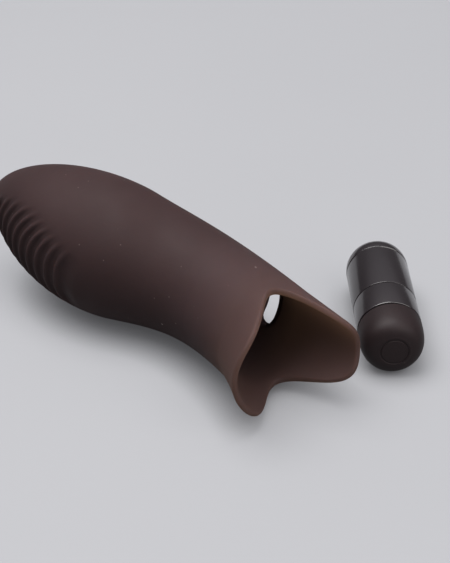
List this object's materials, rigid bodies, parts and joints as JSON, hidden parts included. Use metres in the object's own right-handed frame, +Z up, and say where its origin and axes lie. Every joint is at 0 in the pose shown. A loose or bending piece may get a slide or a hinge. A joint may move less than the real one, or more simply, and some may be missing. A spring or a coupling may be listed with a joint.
{
  "type": "vibrating finger sleeve",
  "caption": "Soft closed-end finger sleeve with a ribbed pad, scalloped mouth and oblong window, and a separate round battery vibrating unit with screw cap and push-button end.",
  "frame": {"origin": "centre of the whole part's footprint, on the table", "axes": "+X runs from the sleeve's closed tip towards its mouth, +Z is up; the sleeve lies on its side and the unit lies beside the mouth"},
  "size_m": [0.1231, 0.0833, 0.0383],
  "materials": {
    "silicone": "matte soft-touch",
    "gloss_shell": "gloss",
    "soft_cap": "matte soft-touch",
    "seal": "matte",
    "brass": "satin",
    "circuit_board": "semi-gloss",
    "white_plastic": "matte",
    "steel": "satin",
    "black_plastic": "matte",
    "cell_steel": "satin",
    "magnet": "matte",
    "copper_winding": "satin",
    "weight_steel": "satin"
  },
  "bodies": {
    "finger_sleeve": {"sleeve": "silicone"},
    "power_unit": {"barrel": "gloss_shell", "nose_cap": "gloss_shell", "battery_tube": "white_plastic", "cell_1": "cell_steel", "cell_2": "cell_steel", "cell_3": "cell_steel", "front_contact": "brass", "motor_cradle": "white_plastic", "ground_strip": "brass", "motor_can": "steel", "motor_magnets": "magnet", "motor_bush": "brass", "motor_end_cap": "white_plastic"},
    "rotor": {"motor_shaft": "steel", "armature": "copper_winding", "commutator": "copper_winding", "eccentric_weight": "weight_steel"},
    "seal_ring": {"o_ring": "seal"},
    "contact_sleeve": {"contact_ring": "brass"},
    "screw_cap": {"collar": "gloss_shell", "switch_pcb": "circuit_board", "pcb_retainer": "white_plastic", "switch_body": "steel", "cell_spring": "steel"},
    "push_button": {"push_cap": "soft_cap"},
    "switch_stem": {"switch_plunger": "black_plastic"}
  },
  "joints": [
    {"name": "unit_lift", "type": "slide", "parent": "finger_sleeve", "child": "power_unit", "axis": [0, 0, 1], "range_m": [0, 0.08]},
    {"name": "rotor_spin", "type": "hinge", "parent": "power_unit", "child": "rotor", "pos_m": [0.03143, 0.03289, 0.0085], "axis": [-0.6861, 0.7275, 0], "continuous": true},
    {"name": "cap_pull_off", "type": "slide", "parent": "power_unit", "child": "seal_ring", "axis": [0.6861, -0.7275, 0], "range_m": [0, 0.02]},
    {"name": "cap_advance", "type": "slide", "parent": "seal_ring", "child": "contact_sleeve", "axis": [0.6861, -0.7275, 0], "range_m": [0, 0.002]},
    {"name": "cap_turn", "type": "hinge", "parent": "contact_sleeve", "child": "screw_cap", "pos_m": [0.04364, 0.01994, 0.0085], "axis": [0.6861, -0.7275, 0], "range_deg": [0, 720]},
    {"name": "button_press", "type": "slide", "parent": "screw_cap", "child": "push_button", "axis": [-0.6861, 0.7275, 0], "range_m": [0, 0.0004], "stiffness_N_per_m": 3000},
    {"name": "switch_press", "type": "slide", "parent": "screw_cap", "child": "switch_stem", "axis": [-0.6861, 0.7275, 0], "range_m": [0, 0.0004]}
  ],
  "couplings": [
    {"joint": "cap_advance", "follows": "cap_turn", "m_per_rad": 0.00015915},
    {"joint": "switch_press", "follows": "button_press", "ratio": 1}
  ]
}
